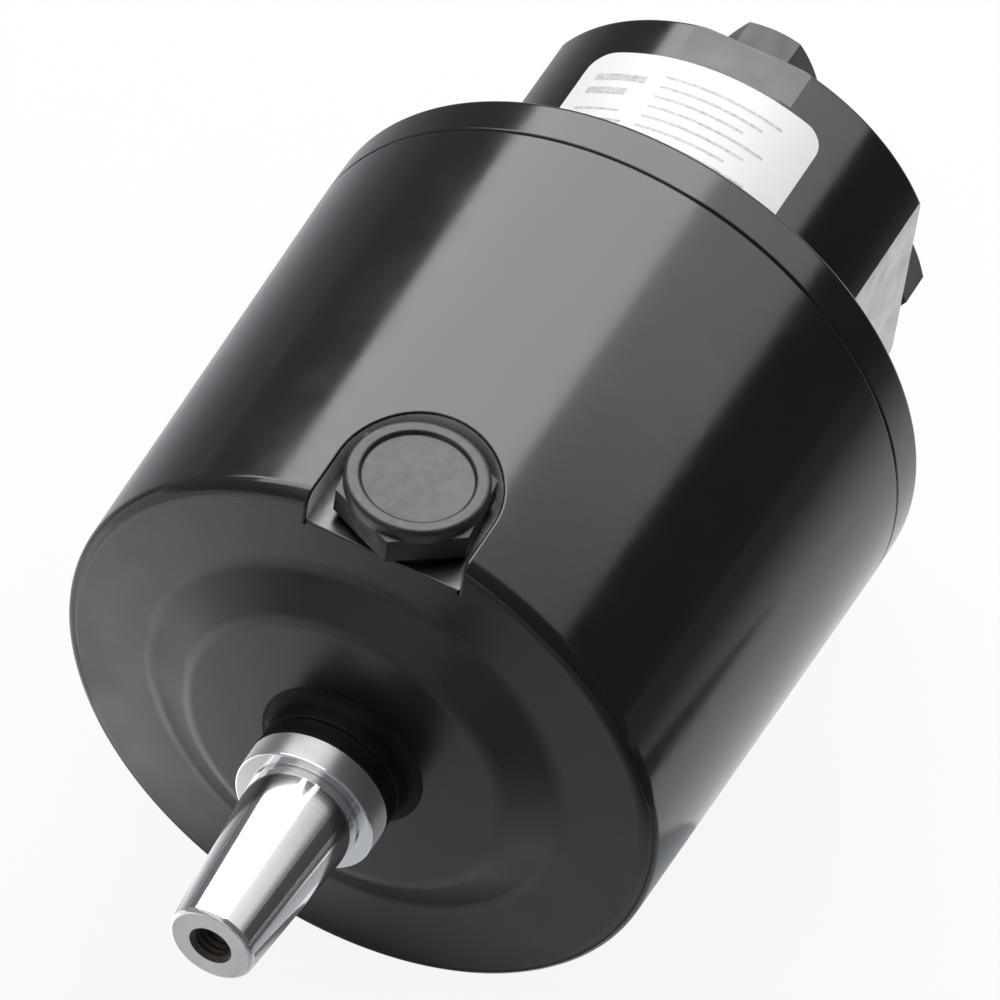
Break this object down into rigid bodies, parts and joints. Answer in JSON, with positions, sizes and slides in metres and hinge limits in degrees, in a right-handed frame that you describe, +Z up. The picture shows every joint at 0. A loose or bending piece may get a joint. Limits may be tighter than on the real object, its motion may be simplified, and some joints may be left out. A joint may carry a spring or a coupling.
{
  "type": "hydraulic steering helm pump",
  "caption": "Dash-mounted hydraulic helm pump with a round oil reservoir, tapered steering-wheel shaft, hex filler plug and rear valve body with hose ports.",
  "frame": {"origin": "centre of the flange's rear face, which rests on the dashboard", "axes": "+Y along the shaft to the rear, away from the steering wheel; +Z up, towards the filler plug"},
  "size_m": [0.108, 0.1912, 0.108],
  "materials": {
    "black_paint": "gloss black paint on cast aluminium",
    "polished_steel": "ground and polished steel",
    "zinc_steel": "machined steel",
    "dark_steel": "phosphated steel",
    "cast_wedge": "machined casting",
    "bronze": "bearing bronze",
    "nitrile": "matte black rubber",
    "plug_nylon": "satin moulded plastic",
    "label_vinyl": "white printed label, left without words"
  },
  "bodies": {
    "housing": {"front_housing": "black_paint", "mounting_flange": "black_paint", "valve_body": "black_paint", "housing_oring": "nitrile", "housing_screws": "zinc_steel", "label": "label_vinyl", "port_fittings": "dark_steel", "port_seals": "nitrile", "shaft_oil_seal": "nitrile", "bearing_outer_ring": "polished_steel", "bearing_circlip": "dark_steel", "thrust_seat": "polished_steel", "swash_block": "cast_wedge", "swash_dowels": "zinc_steel", "port_plate": "bronze", "port_plate_dowels": "zinc_steel", "rear_bush": "bronze", "left_poppet_spring": "dark_steel", "right_poppet_spring": "dark_steel", "valve_seats": "bronze", "valve_end_plugs": "dark_steel", "valve_plug_seals": "nitrile"},
    "shaft": {"steering_shaft": "polished_steel", "wheel_key": "zinc_steel", "dust_seal": "nitrile", "shaft_circlip": "dark_steel", "bearing_inner_ring": "polished_steel", "rotor": "zinc_steel", "rotor_key": "dark_steel", "piston_springs": "dark_steel"},
    "bearing_set": {"bearing_cage": "bronze", "bearing_balls": "polished_steel"},
    "race_set": {"thrust_race": "polished_steel", "piston_balls": "polished_steel"},
    "thrust_set": {"thrust_cage": "bronze", "thrust_balls": "polished_steel"},
    "plug_ring": {"filler_plug_seal": "nitrile"},
    "plug": {"filler_plug": "plug_nylon"},
    "spool": {"shuttle_spool": "polished_steel"},
    "poppet_left": {"left_poppet": "polished_steel"},
    "poppet_right": {"right_poppet": "polished_steel"}
  },
  "joints": [
    {"name": "shaft_spin", "type": "hinge", "parent": "housing", "child": "shaft", "pos_m": [0, -0.05, 0], "axis": [0, 1, 0], "continuous": true},
    {"name": "bearing_set_spin", "type": "hinge", "parent": "housing", "child": "bearing_set", "pos_m": [0, -0.0783, 0], "axis": [0, 1, 0], "continuous": true},
    {"name": "race_spin", "type": "hinge", "parent": "housing", "child": "race_set", "pos_m": [0, -0.04308, 0], "axis": [0, 0.9945, 0.1045], "continuous": true, "deforming": ["piston_springs"]},
    {"name": "thrust_set_spin", "type": "hinge", "parent": "housing", "child": "thrust_set", "pos_m": [0, -0.04308, 0], "axis": [0, 0.9945, 0.1045], "continuous": true},
    {"name": "plug_ring_lift", "type": "slide", "parent": "housing", "child": "plug_ring", "axis": [0, 0, 1], "range_m": [0, 0.0075]},
    {"name": "plug_turn", "type": "hinge", "parent": "plug_ring", "child": "plug", "pos_m": [0, -0.0816, 0.0459], "axis": [0, 0, 1], "range_deg": [0, 1800]},
    {"name": "spool_slide", "type": "slide", "parent": "housing", "child": "spool", "axis": [1, 0, 0], "range_m": [-0.001, 0.001]},
    {"name": "left_poppet_open", "type": "slide", "parent": "housing", "child": "poppet_left", "axis": [-1, 0, 0], "range_m": [0, 0.0018], "stiffness_N_per_m": 1500, "springref_m": -0.003, "deforming": ["left_poppet_spring"]},
    {"name": "right_poppet_open", "type": "slide", "parent": "housing", "child": "poppet_right", "axis": [1, 0, 0], "range_m": [0, 0.0018], "stiffness_N_per_m": 1500, "springref_m": -0.003, "deforming": ["right_poppet_spring"]}
  ],
  "couplings": [
    {"joint": "bearing_set_spin", "follows": "shaft_spin", "ratio": 0.39839},
    {"joint": "race_spin", "follows": "shaft_spin", "ratio": 1},
    {"joint": "thrust_set_spin", "follows": "shaft_spin", "ratio": 0.5},
    {"joint": "plug_ring_lift", "follows": "plug_turn", "m_per_rad": 0.00023873}
  ]
}
